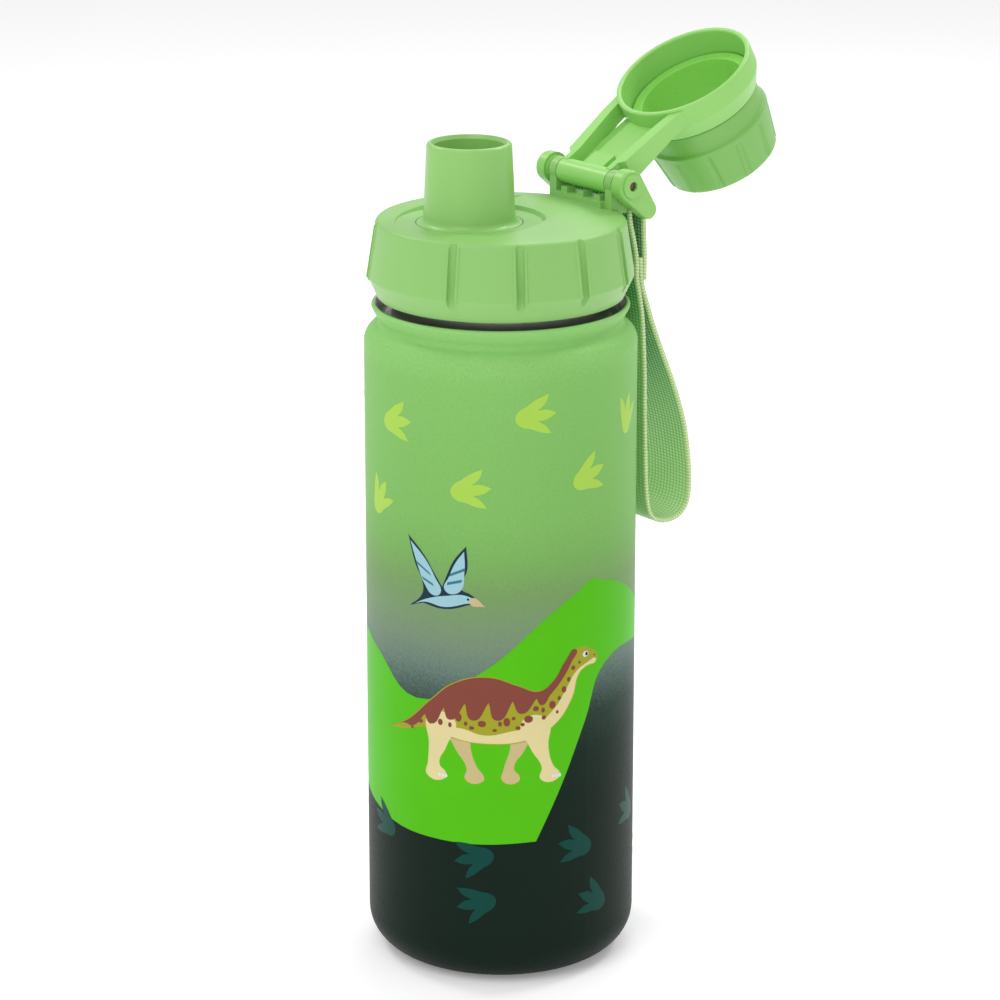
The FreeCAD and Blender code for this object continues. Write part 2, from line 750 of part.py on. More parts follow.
def strap_yoke():
    """Two teardrop cheeks that hang from the ends of the hinge pin, joined by the strap bar."""
    cheek = Part.Face(teardrop()).extrude(Vector(cheek_width, 0, 0))
    cheek.translate(Vector(cheek_inner, 0, 0))
    cheek = cheek.fuse([
        rod(cheek_pin_radius, cheek_inner, cheek_outer),
        rod(cheek_tip_radius, cheek_inner, cheek_outer, bar_y, bar_z),
    ]).removeSplitter()
    outer_edges = [edge for edge in cheek.Edges
                   if all(abs(vertex.X - cheek_outer) < TINY for vertex in edge.Vertexes)]
    cheek = cheek.makeFillet(cheek_round, outer_edges)
    cheek = cheek.fuse([
        rod(knuckle_radius, boss_inner, cheek_inner + 0.5),
        rod(boss_radius, cheek_outer - 0.5, boss_outer),
    ])
    cheek = cheek.cut(rod(pin_radius + pin_fit, boss_inner - 1, boss_outer + 1))
    bar = rod(bar_radius, -cheek_inner - 0.5, cheek_inner + 0.5, bar_y, bar_z)
    return bar.fuse(both_sides(cheek))


def loop_outline():
    """Inside of the hand loop as (y, z, radius) corners, from the tab round and back to it."""
    inner_y = tab_y + webbing_thickness
    return [
        (inner_y + 0.25, tab_bottom, 0),
        (inner_y + 2.0, tab_bottom - 8.0, 25),
        (inner_y + 3.6, tab_bottom - 51.0, 60),
        (inner_y + 4.9, tab_bottom - 68.5, 7.0),
        (inner_y + 18.6, tab_bottom - 67.7, 7.5),
        (inner_y + 17.0, tab_bottom - 44.0, 22),
        (inner_y + 8.6, tab_bottom - 22.5, 60),
        (inner_y + 2.2, tab_bottom - 6.0, 28),
        (inner_y + 0.75, tab_bottom, 0),
    ]


def across_strap(wire):
    """Prism across the strap's width, over an outline drawn in the XZ plane and turned into YZ."""
    face = Part.Face(wire)
    face.rotate(Vector(0, 0, 0), Z_AXIS, 90)
    face.translate(Vector(-webbing_width / 2, 0, 0))
    return face.extrude(Vector(webbing_width, 0, 0))


def strap_webbing():
    """One length of webbing, round the yoke bar, sewn flat at the tab and open below as a loop."""
    inner_y = tab_y + webbing_thickness
    bar_loop = [
        (inner_y + 0.2, tab_top, 0),
        (bar_y - webbing_bar_radius, bar_z - 2.5, 8),
        (bar_y - webbing_bar_radius, bar_z + webbing_bar_radius, webbing_bar_radius - 0.02),
        (bar_y + webbing_bar_radius, bar_z + webbing_bar_radius, webbing_bar_radius - 0.02),
        (bar_y + webbing_bar_radius, bar_z - 2.5, 8),
        (inner_y + 0.6, tab_top, 0),
    ]
    tab = [
        (tab_y, tab_bottom - tab_overlap, tab_round),
        (tab_y, tab_top + tab_overlap, tab_round),
        (tab_face, tab_top + tab_overlap, tab_round),
        (tab_face, tab_bottom - tab_overlap, tab_round),
    ]
    insides = [outline(loop_outline()), outline(bar_loop)]
    outsides = [wire.makeOffset2D(webbing_thickness, 2) for wire in insides]
    strip = across_strap(outline(tab)).fuse([across_strap(wire) for wire in outsides])
    return strip.cut([across_strap(wire) for wire in insides]).removeSplitter()


def tab_stitches():
    """Box stitch through the tab, as short thread runs that stand on its outer face."""
    stitches = []
    rows = [tab_bottom + stitch_inset, tab_top - stitch_inset]
    count = int((webbing_width - 2 * stitch_margin) / stitch_pitch)
    start = -(count - 1) / 2 * stitch_pitch
    for z in rows:
        for i in range(count):
            end = Vector(start + i * stitch_pitch - stitch_length / 2, tab_face + stitch_radius, z)
            stitches.append(Part.makeCylinder(stitch_radius, stitch_length, end, X_AXIS))
    return Part.makeCompound(stitches)


NODES = {
    "outer_shell": outer_shell,
    "inner_liner": inner_liner,
    "base_cup": base_cup,
    "vacuum_seal": vacuum_seal,
    "getter_pellet": getter_pellet,
    "lid_shell": lid_shell,
    "lid_core": lid_core,
    "lid_gasket": lid_gasket,
    "hinge_pin": hinge_pin,
    "cap_arm": cap_arm,
    "cap_knob": cap_knob,
    "knob_liner": knob_liner,
    "cap_seal": cap_seal,
    "strap_yoke": strap_yoke,
    "strap_webbing": strap_webbing,
    "tab_stitches": tab_stitches,
}

os.makedirs("parts", exist_ok=True)
for name, make in NODES.items():
    shape = make()
    solids = len(shape.Solids)
    print(f"{name:15s} solids {solids} valid {shape.isValid()} volume {shape.Volume / 1000:.3f} cm3")
    shape.exportStep(f"parts/{name}.step")
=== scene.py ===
import math
import bmesh
import bpy
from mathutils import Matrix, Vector, noise


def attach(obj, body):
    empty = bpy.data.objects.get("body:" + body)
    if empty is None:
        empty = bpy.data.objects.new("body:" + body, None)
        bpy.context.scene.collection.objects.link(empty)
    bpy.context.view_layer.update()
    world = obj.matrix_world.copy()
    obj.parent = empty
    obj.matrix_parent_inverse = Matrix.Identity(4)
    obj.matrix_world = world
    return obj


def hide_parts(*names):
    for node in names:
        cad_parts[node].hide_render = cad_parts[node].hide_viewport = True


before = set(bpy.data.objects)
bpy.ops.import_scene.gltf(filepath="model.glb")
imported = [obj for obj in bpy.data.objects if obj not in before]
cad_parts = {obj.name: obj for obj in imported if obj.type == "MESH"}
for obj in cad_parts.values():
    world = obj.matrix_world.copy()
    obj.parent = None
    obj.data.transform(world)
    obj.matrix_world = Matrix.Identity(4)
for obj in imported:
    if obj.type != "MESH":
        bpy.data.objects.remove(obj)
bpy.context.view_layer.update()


# ---- Outer wall: powder coated steel --------------------------------------------------------
# The pressed steel wall is powder coated outside, sprayed from leaf green down to near black, with a
# speckled fade where the two coats meet. The neck, the dish inside the lip and the foot stay bare steel.

mm = 0.001


def srgb(*colour):
    """A colour given as 0 to 255 on a screen, as the shader's linear colour."""
    shares = [part / 255 for part in colour]
    linear = [share / 12.92 if share <= 0.04 else ((share + 0.055) / 1.055) ** 2.4 for share in shares]
    return (*linear, 1.0)


class Finish:
    """A material under construction: one Principled shader and the nodes that feed it."""

    def __init__(self, name):
        self.material = bpy.data.materials.new(name)
        self.material.use_nodes = True
        self.tree = self.material.node_tree
        self.shader = self.tree.nodes["Principled BSDF"]
        self.place = self.node("ShaderNodeTexCoord").outputs["Object"]

    def node(self, kind, **settings):
        made = self.tree.nodes.new(kind)
        for key, value in settings.items():
            setattr(made, key, value)
        return made

    def link(self, source, target):
        self.tree.links.new(source, target)

    def math(self, operation, first, second=0.0, clamp=False):
        made = self.node("ShaderNodeMath", operation=operation, use_clamp=clamp)
        for socket, value in zip(made.inputs, (first, second)):
            if isinstance(value, (int, float)):
                socket.default_value = value
            else:
                self.link(value, socket)
        return made.outputs[0]

    def noise(self, scale, detail=2.0, stretch=(1, 1, 1), vector=None):
        mapping = self.node("ShaderNodeMapping")
        mapping.inputs["Scale"].default_value = stretch
        self.link(vector or self.place, mapping.inputs["Vector"])
        made = self.node("ShaderNodeTexNoise")
        made.inputs["Scale"].default_value = scale
        made.inputs["Detail"].default_value = detail
        self.link(mapping.outputs[0], made.inputs["Vector"])
        return made.outputs["Fac"]

    def ramp(self, factor, stops):
        made = self.node("ShaderNodeValToRGB")
        points = made.color_ramp.elements
        while len(points) < len(stops):
            points.new(0.5)
        for point, (position, colour) in zip(points, stops):
            point.position = position
            point.color = colour
        self.link(factor, made.inputs["Fac"])
        return made.outputs["Color"]

    def between(self, factor, low, high):
        """A number that goes from low to high as factor goes from 0 to 1."""
        made = self.node("ShaderNodeMapRange", clamp=True)
        self.link(factor, made.inputs["Value"])
        made.inputs["To Min"].default_value = low
        made.inputs["To Max"].default_value = high
        return made.outputs["Result"]

    def mixed(self, factor, first, second, blend="MIX"):
        made = self.node("ShaderNodeMix", data_type="RGBA", blend_type=blend)
        sockets = [made.inputs[i] for i in (0, 6, 7)]
        for socket, value in zip(sockets, (factor, first, second)):
            if isinstance(value, (int, float, tuple)):
                socket.default_value = value
            else:
                self.link(value, socket)
        return made.outputs[2]

    def shaded(self, colour, amount):
        """The colour made darker where the amount falls below 1."""
        grey = self.mixed(amount, (0, 0, 0, 1), (1, 1, 1, 1))
        return self.mixed(1.0, colour, grey, "MULTIPLY")

    def split(self, vector):
        """The across, along and up parts of a place."""
        made = self.node("ShaderNodeSeparateXYZ")
        self.link(vector, made.inputs[0])
        return made.outputs

    def both(self, first, second):
        return self.math("MULTIPLY", first, second)

    def bump(self, height, distance, strength=1.0):
        made = self.node("ShaderNodeBump")
        made.inputs["Distance"].default_value = distance
        made.inputs["Strength"].default_value = strength
        self.link(height, made.inputs["Height"])
        self.link(made.outputs[0], self.shader.inputs["Normal"])

    def set(self, **values):
        for key, value in values.items():
            socket = self.shader.inputs[key.replace("_", " ").title().replace("Ior", "IOR")]
            if isinstance(value, (int, float, tuple)):
                socket.default_value = value
            else:
                self.link(value, socket)
        return self.material


def dress(node, material):
    """Gives a CAD node its finish."""
    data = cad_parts[node].data
    data.materials.clear()
    data.materials.append(material)


def powder_coat():
    lip_top = 182.2 * mm
    dish_edge, dish_inner_edge = 33.7 * mm, 31.7 * mm
    dish_top, dish_floor = lip_top - 2.2 * mm, lip_top - 4.2 * mm
    neck_foot = lip_top + 0.6 * mm
    foot_edge, foot_height = 22.2 * mm, 8 * mm
    droplet_throw, drift_throw = 9 * mm, 6 * mm
    finish = Finish("powder_coat")
    across, back, height = finish.split(finish.place)
    flat = finish.node("ShaderNodeCombineXYZ")
    finish.link(across, flat.inputs["X"])
    finish.link(back, flat.inputs["Y"])
    length = finish.node("ShaderNodeVectorMath", operation="LENGTH")
    finish.link(flat.outputs[0], length.inputs[0])
    radius = length.outputs["Value"]
    # the sprayed fade, pushed up and down by droplets and by the hand's slow drift
    droplets = finish.both(finish.math("SUBTRACT", finish.noise(1500, 1.0), 0.5), droplet_throw)
    drift = finish.both(finish.math("SUBTRACT", finish.noise(22, 1.0), 0.5), drift_throw)
    sprayed = finish.math("ADD", finish.math("ADD", height, droplets), drift)
    share = finish.math("DIVIDE", sprayed, lip_top)
    # painted light: the last two stops, at 176 and 182 mm, lighten the shoulder under the lid, where it lies
    # in shade
    fade_and_shoulder_light = [
        (0, (10, 29, 20)), (54, (12, 32, 23)), (66, (17, 38, 29)), (76, (36, 58, 49)),
        (83, (72, 94, 86)), (90, (102, 124, 113)), (97, (116, 138, 114)), (104, (118, 147, 106)),
        (112, (117, 154, 94)), (121, (119, 172, 91)), (131, (125, 182, 95)), (168, (130, 189, 101)),
        (176, (142, 200, 113)), (182, (144, 202, 116)),
    ]
    paint_and_shoulder_light = finish.ramp(share, [(z * mm / lip_top, srgb(*colour)) for z, colour in fade_and_shoulder_light])
    paint_and_shoulder_light = finish.shaded(paint_and_shoulder_light, finish.between(finish.noise(1900, 2.0), 0.86, 1.12))
    # bare steel: the neck, the foot's underside, and the dish inside the lip
    dish = finish.both(finish.math("LESS_THAN", radius, dish_edge),
                       finish.math("GREATER_THAN", height, dish_floor))
    below_dish = finish.both(finish.math("GREATER_THAN", radius, dish_inner_edge),
                             finish.math("LESS_THAN", height, dish_top))
    foot = finish.both(finish.math("LESS_THAN", radius, foot_edge),
                       finish.math("LESS_THAN", height, foot_height))
    neck = finish.math("GREATER_THAN", height, neck_foot)
    bare = finish.math("MAXIMUM", finish.math("MAXIMUM", neck, foot),
                       finish.math("SUBTRACT", dish, below_dish, clamp=True))
    brushed = finish.between(finish.noise(60, 3.0, (0.4, 0.4, 60)), 0.75, 1.1)
    steel = finish.shaded(srgb(186, 186, 182), brushed)
    grain = finish.noise(900, 2.0)
    finish.bump(grain, 0.05 * mm, 0.55)
    rough = finish.math("SUBTRACT", finish.between(grain, 0.4, 0.54), finish.both(bare, 0.12))
    return finish.set(base_color=finish.mixed(bare, paint_and_shoulder_light, steel), metallic=bare, roughness=rough,
                      specular_ior_level=0.1)


dress("outer_shell", powder_coat())


# ---- Inner wall, base cup: bare steel -------------------------------------------------------
# The drinking vessel is drawn stainless steel, polished along its turning marks, and the base cup
# is pressed from the same sheet and welded inside the foot.

def bare_steel(name, colour, low, high):
    finish = Finish(name)
    rings = finish.noise(45, 4.0, (0.3, 0.3, 60))
    cloud = finish.noise(35, 2.0)
    tone = finish.mixed(finish.between(rings, 0.2, 0.8), srgb(*(c * 0.86 for c in colour)), srgb(*colour))
    finish.bump(rings, 0.03 * mm, 0.5)
    return finish.set(base_color=tone, metallic=1.0, roughness=finish.between(cloud, low, high))


dress("inner_liner", bare_steel("drawn_steel", (200, 200, 198), 0.22, 0.34))
dress("base_cup", bare_steel("pressed_steel", (190, 190, 188), 0.26, 0.4))


# ---- Vacuum seal and getter -----------------------------------------------------------------
# A bead of dark glass closes the hole that the air was drawn out through, and a pressed pellet of
# metal powder inside the gap takes up what gas is left.

def seal_glass():
    finish = Finish("seal_glass")
    cloud = finish.noise(700, 3.0)
    tone = finish.mixed(cloud, srgb(52, 50, 46), srgb(84, 80, 74))
    finish.bump(cloud, 0.05 * mm, 0.4)
    return finish.set(base_color=tone, roughness=finish.between(cloud, 0.12, 0.3), coat_weight=0.3)


def pressed_powder():
    finish = Finish("pressed_powder")
    grains = finish.noise(2600, 3.0)
    tone = finish.mixed(grains, srgb(96, 96, 98), srgb(150, 149, 148))
    finish.bump(grains, 0.12 * mm, 0.9)
    return finish.set(base_color=tone, metallic=0.7, roughness=finish.between(grains, 0.55, 0.8))


dress("vacuum_seal", seal_glass())
dress("getter_pellet", pressed_powder())


# ---- Screw lid, spout and cap: moulded polypropylene ----------------------------------------
# The lid's collar comes from a finely sparked mould, so it is satin, while the spout, the inner core
# and the cap come from a smoother one. The colour drifts a little where the melt flowed.

def moulded(name, dark, light, roughness, grain_scale, grain_depth):
    finish = Finish(name)
    flow = finish.noise(38, 3.0, (1, 1, 0.5))
    grain = finish.noise(grain_scale, 2.0)
    dust = finish.noise(260, 4.0)
    tone = finish.mixed(finish.between(flow, 0.1, 0.9), srgb(*dark), srgb(*light))
    finish.bump(grain, grain_depth, 0.6)
    low, high = roughness
    rough = finish.math("ADD", finish.between(grain, low, high), finish.between(dust, -0.03, 0.05))
    return finish.set(base_color=tone, roughness=rough, specular_ior_level=0.42)


dress("lid_shell", moulded("satin_plastic", (136, 190, 103), (144, 197, 111), (0.34, 0.44), 1500, 0.03 * mm))
dress("lid_core", moulded("spout_plastic", (140, 194, 105), (148, 202, 112), (0.27, 0.33), 2000, 0.003 * mm))
dress("cap_arm", moulded("cap_plastic", (146, 208, 108), (154, 214, 115), (0.28, 0.34), 2000, 0.003 * mm))
dress("cap_knob", moulded("knob_plastic", (124, 184, 90), (132, 191, 98), (0.28, 0.36), 2000, 0.004 * mm))
dress("knob_liner", moulded("liner_plastic", (142, 214, 94), (150, 220, 102), (0.24, 0.3), 2000, 0.003 * mm))
dress("strap_yoke", moulded("yoke_plastic", (140, 200, 102), (148, 207, 109), (0.28, 0.36), 2000, 0.003 * mm))


# ---- Seals and hinge pin --------------------------------------------------------------------
# The two seals are soft white silicone, a little cloudy, and the hinge pin is drawn steel wire
# pressed through the barrel, browned where the cutter sheared its ends.

def silicone():
    finish = Finish("silicone")
    cloud = finish.noise(160, 3.0)
    tone = finish.mixed(cloud, srgb(214, 217, 208), srgb(232, 234, 228))
    finish.bump(finish.noise(1300, 2.0), 0.02 * mm, 0.5)
    return finish.set(base_color=tone, roughness=finish.between(cloud, 0.42, 0.55), subsurface_weight=0.4,
                      subsurface_scale=2 * mm, subsurface_radius=(1.0, 1.0, 0.9))


def pin_wire():
    finish = Finish("pin_wire")
    drawn = finish.noise(200, 3.0, (0.1, 6, 6))
    tone = finish.mixed(drawn, srgb(86, 62, 54), srgb(140, 118, 106))
    finish.bump(drawn, 0.03 * mm, 0.6)
    return finish.set(base_color=tone, metallic=0.8, roughness=finish.between(drawn, 0.32, 0.5))


dress("lid_gasket", silicone())
dress("cap_seal", silicone())
dress("hinge_pin", pin_wire())


# ---- Screen printed picture: hills ----------------------------------------------------------
# The picture is screen printed over the powder coat in flat inks, each ink a film about 0.01 mm thick.
# The first ink down is the bright green of the hills, which run right round the bottle.

body_radius = 36.5 * mm
film = 0.01 * mm
picture_side = -38.5  # degrees round from the right side to the middle of the front picture


def ink(name, colour, roughness=0.42):
    finish = Finish(name)
    screen = finish.noise(2400, 1.0)
    patch = finish.noise(70, 2.0)
    dark = tuple(c * 0.93 for c in colour)
    tone = finish.mixed(finish.between(patch, 0.2, 0.8), srgb(*dark), srgb(*colour))
    finish.bump(screen, 0.02 * mm, 0.4)
    return finish.set(base_color=tone, roughness=finish.between(screen, roughness - 0.05, roughness + 0.05),
                      specular_ior_level=0.12)


def placed(name, shape, smooth=False):
    """The finished bmesh as an object in the scene."""
    mesh = bpy.data.meshes.new(name)
    shape.to_mesh(mesh)
    shape.free()
    for polygon in mesh.polygons:
        polygon.use_smooth = smooth
    piece = bpy.data.objects.new(name, mesh)
    bpy.context.scene.collection.objects.link(piece)
    return piece


def flat_shape(outlines):
    """Filled mesh of closed outlines. A point is (across, up, "soft" or "sharp"), in millimetres."""
    curve = bpy.data.curves.new("outline", "CURVE")
    curve.dimensions = "2D"
    curve.fill_mode = "BOTH"
    curve.resolution_u = 6
    for outline in outlines:
        spline = curve.splines.new("BEZIER")
        spline.bezier_points.add(len(outline) - 1)
        for point, (across, up, kind) in zip(spline.bezier_points, outline):
            point.co = (across * mm, up * mm, 0)
            handle = "AUTO" if kind == "soft" else "VECTOR"
            point.handle_left_type = handle
            point.handle_right_type = handle
        spline.use_cyclic_u = True
    holder = bpy.data.objects.new("outline", curve)
    mesh = bpy.data.meshes.new_from_object(holder)
    bpy.data.objects.remove(holder)
    bpy.data.curves.remove(curve)
    return mesh


def cut_into_strips(shape):
    """Cuts a flat shape into upright strips, narrow enough to bend round the body."""
    strip = 1.0 * mm
    low = math.floor(min(vert.co.x for vert in shape.verts) / strip)
    high = math.ceil(max(vert.co.x for vert in shape.verts) / strip)
    for cut in range(low, high + 1):
        everything = shape.verts[:] + shape.edges[:] + shape.faces[:]
        bmesh.ops.bisect_plane(shape, geom=everything, dist=1e-7, plane_co=(cut * strip, 0, 0),
                               plane_no=(1, 0, 0))


def thicken(shape):
    """Gives a flat shape the thickness of one ink film, closed all round."""
    bmesh.ops.recalc_face_normals(shape, faces=shape.faces)
    if sum(face.normal.z for face in shape.faces) < 0:
        bmesh.ops.reverse_faces(shape, faces=shape.faces)
    bottom = shape.faces[:]
    top = bmesh.ops.extrude_face_region(shape, geom=bottom, use_keep_orig=True)["geom"]
    raised = [part for part in top if isinstance(part, bmesh.types.BMVert)]
    bmesh.ops.translate(shape, vec=(0, 0, film), verts=raised)
    bmesh.ops.reverse_faces(shape, faces=bottom)


def printed(name, inks, angle, height, layer, scale=1.0, mirror=False, turn=0.0):
    """One print on the bottle's side, with an ink film for each (ink, outlines), stacked outwards."""
    joined = bmesh.new()
    flip = -1 if mirror else 1
    cos, sin = math.cos(math.radians(turn)), math.sin(math.radians(turn))
    start = math.radians(picture_side + angle) * body_radius
    for level, (_, outlines) in enumerate(inks):
        shape = bmesh.new()
        shape.from_mesh(flat_shape(outlines))
        bmesh.ops.remove_doubles(shape, verts=shape.verts, dist=0.001 * mm)
        for vert in shape.verts:
            across, up = vert.co.x * scale * flip, vert.co.y * scale
            vert.co = (start + across * cos - up * sin, height * mm + across * sin + up * cos, 0)
        cut_into_strips(shape)
        for face in shape.faces:
            face.material_index = level
        thicken(shape)
        for vert in shape.verts:
            around = vert.co.x / body_radius
            out = body_radius + vert.co.z + (layer + level) * film
            vert.co = (out * math.cos(around), out * math.sin(around), vert.co.y)
        part = bpy.data.meshes.new("part")
        shape.to_mesh(part)
        shape.free()
        joined.from_mesh(part)
        bpy.data.meshes.remove(part)
    piece = placed(name, joined)
    for material, _ in inks:
        piece.data.materials.append(material)
    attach(piece, "bottle")


def hill_range(points):
    """A hill as (angle, height, kind) points, turned into millimetres round the bottle's side."""
    return [(math.radians(angle) * body_radius / mm, up, kind) for angle, up, kind in points]


hill_ink = ink("hill_ink", (84, 192, 6))
near_hills = hill_range([
    (-104, 74, "sharp"), (-88, 92, "soft"), (-66, 90.5, "soft"), (-38, 80.5, "soft"), (-8, 90, "soft"),
    (20, 105, "soft"), (41, 113.5, "sharp"), (62, 109, "soft"), (84, 100, "sharp"), (84, 90, "sharp"),
    (50, 89, "soft"), (38, 74, "soft"), (27, 58, "soft"), (15, 42, "sharp"), (-22, 41.5, "soft"),
    (-60, 44, "soft"), (-92, 52, "soft"),
])
far_hills = hill_range([
    (-78, 78, "sharp"), (-52, 92, "soft"), (-20, 86, "soft"), (6, 96, "soft"), (34, 108, "soft"),
    (60, 98, "soft"), (76, 84, "sharp"), (52, 74, "soft"), (36, 56, "soft"), (24, 43, "sharp"),
    (-14, 42, "soft"), (-48, 47, "soft"), (-66, 62, "soft"),
])
printed("printed_hills_front", [(hill_ink, [near_hills])], 0, 0, 1)
printed("printed_hills_back", [(hill_ink, [far_hills])], 172, 0, 1)


# ---- Screen printed picture: tracks ---------------------------------------------------------
# Three-toed tracks walk round the bottle in two files: pale lime ones near the shoulder and deep
# teal ones in the dark coat near the base.

track = [
    (-5.2, 0.0, "soft"), (-4.2, -2.0, "soft"), (-1.4, -3.3, "soft"), (1.2, -4.7, "soft"),
    (3.8, -5.5, "sharp"), (2.6, -3.2, "soft"), (0.8, -1.6, "sharp"), (3.2, -1.5, "soft"),
    (6.0, -0.3, "sharp"), (3.2, 1.2, "soft"), (1.0, 1.3, "sharp"), (3.2, 2.8, "soft"), (4.6, 5.2, "sharp"),
    (1.2, 4.4, "soft"), (-1.8, 3.0, "soft"), (-4.2, 1.8, "soft"),
]
lime_ink = ink("lime_ink", (172, 214, 84))
teal_ink = ink("teal_ink", (0, 68, 60), 0.4)
high_tracks = [(-49, 155.5, 12), (14, 160, 8), (66, 155, 78), (117, 160, 10), (168, 155, 20), (218, 159, 8),
               (264, 156, 14), (-61, 133, 60), (-13, 140, 10), (39, 142, 22), (92, 137, 12), (143, 141, 8),
               (194, 134, 24), (246, 139, 12)]
low_tracks = [(-59, 41.5, -20), (-11, 37.5, 12), (34, 39, -18), (70, 43, -30), (120, 38, 10), (168, 41, -14),
              (216, 37, 8), (262, 41, -16), (-10, 24.5, 14), (43.5, 22, -30), (96, 26, 8), (148, 22, -20),
              (200, 26, 12), (252, 23, -10)]
for number, (angle, height, turn) in enumerate(high_tracks):
    printed(f"printed_track_high_{number + 1}", [(lime_ink, [track])], angle, height, 1, turn=turn)
for number, (angle, height, turn) in enumerate(low_tracks):
    printed(f"printed_track_low_{number + 1}", [(teal_ink, [track])], angle, height, 2,
            mirror=True, turn=turn)


# ---- Screen printed picture: dinosaurs ------------------------------------------------------
# A plain long-necked dinosaur walks over the hills on each side, printed in cream, olive and brown
# inks with an eye, spots and claws.

def leg(hip, foot, width):
    """A leg from the hip down to the ground, as a soft outline."""
    hip_height, knee_height, ankle_height = 17, 9, 3.5
    knee = hip + (foot - hip) * 0.4
    return [
        (hip - width, hip_height, "soft"), (knee - width * 0.75, knee_height, "soft"),
        (foot - width * 0.5, ankle_height, "soft"), (foot - width * 0.6, 0.2, "soft"),
        (foot + width * 0.9, 0.0, "soft"), (foot + width * 0.95, 1.5, "soft"),
        (foot + width * 0.45, ankle_height + 0.1, "soft"), (knee + width * 0.65, knee_height, "soft"),
        (hip + width, hip_height, "soft"),
    ]


def blob(across, up, wide, tall):
    """A rounded spot."""
    return [(across - wide, up, "soft"), (across, up + tall, "soft"), (across + wide, up, "soft"),
            (across, up - tall, "soft")]


body = [
    (-31.5, 10.5, "sharp"), (-24, 14.5, "soft"), (-17, 21, "soft"), (-9, 27.5, "soft"), (0, 29.5, "soft"),
    (8, 27, "soft"), (13.5, 25.2, "soft"), (18, 28, "soft"), (21, 32.5, "soft"), (24.5, 35.6, "soft"),
    (28.6, 34.8, "soft"), (31.6, 32.2, "soft"), (31.2, 30.4, "soft"), (28, 29.8, "soft"),
    (25.6, 28.6, "soft"), (23.4, 22, "soft"), (18, 15, "soft"), (11, 11.5, "soft"), (0, 10.4, "soft"),
    (-11, 11.6, "soft"), (-18, 13.2, "soft"), (-25, 11.4, "soft"),
]
belly = [
    (-15, 13.6, "sharp"), (-8, 14.6, "soft"), (-1, 13, "soft"), (6, 14.2, "soft"), (12, 15.4, "soft"),
    (17.5, 19.4, "soft"), (21.5, 25, "soft"), (24.2, 28.9, "soft"), (28.2, 30.9, "soft"),
    (31.1, 31.3, "soft"), (31.0, 30.5, "soft"), (28, 30.0, "soft"), (25.4, 28.5, "soft"),
    (23.1, 22, "soft"), (17.9, 15.2, "soft"), (11, 11.8, "soft"), (0, 10.7, "soft"), (-10.5, 11.9, "soft"),
]
saddle = [
    (-31, 10.7, "sharp"), (-23.8, 14.3, "soft"), (-16.8, 20.8, "soft"), (-8.9, 27.2, "soft"),
    (0, 29.2, "soft"), (8, 26.7, "soft"), (13.5, 24.9, "soft"), (17.8, 27.8, "soft"), (20.8, 32.3, "soft"),
    (24.3, 35.2, "soft"), (22.8, 31.8, "soft"), (20, 27.4, "soft"), (16.6, 23.6, "sharp"),
    (14.2, 21, "soft"), (12.8, 23, "sharp"), (8.6, 19, "soft"), (6.4, 22.6, "sharp"), (2.2, 17.2, "soft"),
    (0, 22.2, "sharp"), (-4.4, 17, "soft"), (-6.4, 21.6, "sharp"), (-10.8, 16.6, "soft"),
    (-12.4, 19.8, "sharp"), (-16.4, 14.6, "soft"), (-18.2, 17, "sharp"), (-22.4, 12.8, "soft"),
    (-25, 13, "soft"),
]
spots = [blob(-19.6, 14.8, 0.8, 0.6), blob(-13.4, 15.6, 0.7, 0.9), blob(-8.2, 17.6, 0.9, 1.2),
         blob(-1.8, 16.2, 1.1, 0.9), blob(4.8, 16.8, 0.9, 1.2), blob(10.6, 17.4, 1.2, 1.0),
         blob(12.6, 20.2, 0.8, 0.7), blob(17.2, 20.8, 0.9, 1.1), blob(20.6, 24.6, 0.7, 0.9),
         blob(23.4, 30.2, 0.6, 0.6), blob(-4.6, 14.9, 0.7, 0.5), blob(7.8, 15.1, 0.7, 0.5),
         blob(14.8, 17.5, 0.6, 0.6), blob(1.6, 14.5, 0.6, 0.4), blob(-22.4, 12.4, 0.5, 0.4),
         blob(-10.6, 15.2, 0.5, 0.7), blob(-6.2, 16.0, 0.5, 0.6), blob(3.0, 16.3, 0.5, 0.7),
         blob(6.6, 17.8, 0.5, 0.5), blob(9.0, 16.0, 0.6, 0.5), blob(14.6, 19.6, 0.5, 0.7),
         blob(19.2, 22.4, 0.5, 0.6), blob(18.6, 18.6, 0.4, 0.5), blob(22.0, 27.2, 0.5, 0.7),
         blob(25.4, 31.4, 0.4, 0.4)]
far_legs = [leg(-8.6, -4.4, 3.2), leg(9.4, 5.4, 2.9)]
near_legs = [leg(-13.2, -15.4, 3.8), leg(12.4, 16.0, 3.5)]
claws = [blob(foot + step, 0.7, 0.42, 0.55) for foot in (-12.2, 19.0) for step in (-1.5, -0.5, 0.4)]
face = [blob(27.4, 33.3, 0.95, 0.8)]
pupil = [blob(27.7, 33.3, 0.45, 0.5), blob(30.6, 32.4, 0.28, 0.2)]
cream_ink = ink("cream_ink", (226, 213, 156))
shade_ink = ink("shade_ink", (203, 184, 132))
olive_ink = ink("olive_ink", (163, 162, 40))
brown_ink = ink("brown_ink", (134, 70, 58))
white_ink = ink("white_ink", (226, 228, 226))
black_ink = ink("black_ink", (34, 34, 32))
dinosaur = [(shade_ink, far_legs), (olive_ink, [body]), (cream_ink, near_legs), (cream_ink, [belly]),
            (brown_ink, [saddle]), (brown_ink, spots), (white_ink, face + claws), (black_ink, pupil)]
printed("printed_dinosaur_front", dinosaur, -5, 59.5, 2)
printed("printed_dinosaur_back", dinosaur, 170, 60, 2, scale=0.86, mirror=True)


# ---- Screen printed picture: birds ----------------------------------------------------------
# A small blue bird glides over the hills on each side, a dark ink first and the blue ones on top,
# so that a thin dark outline is left.

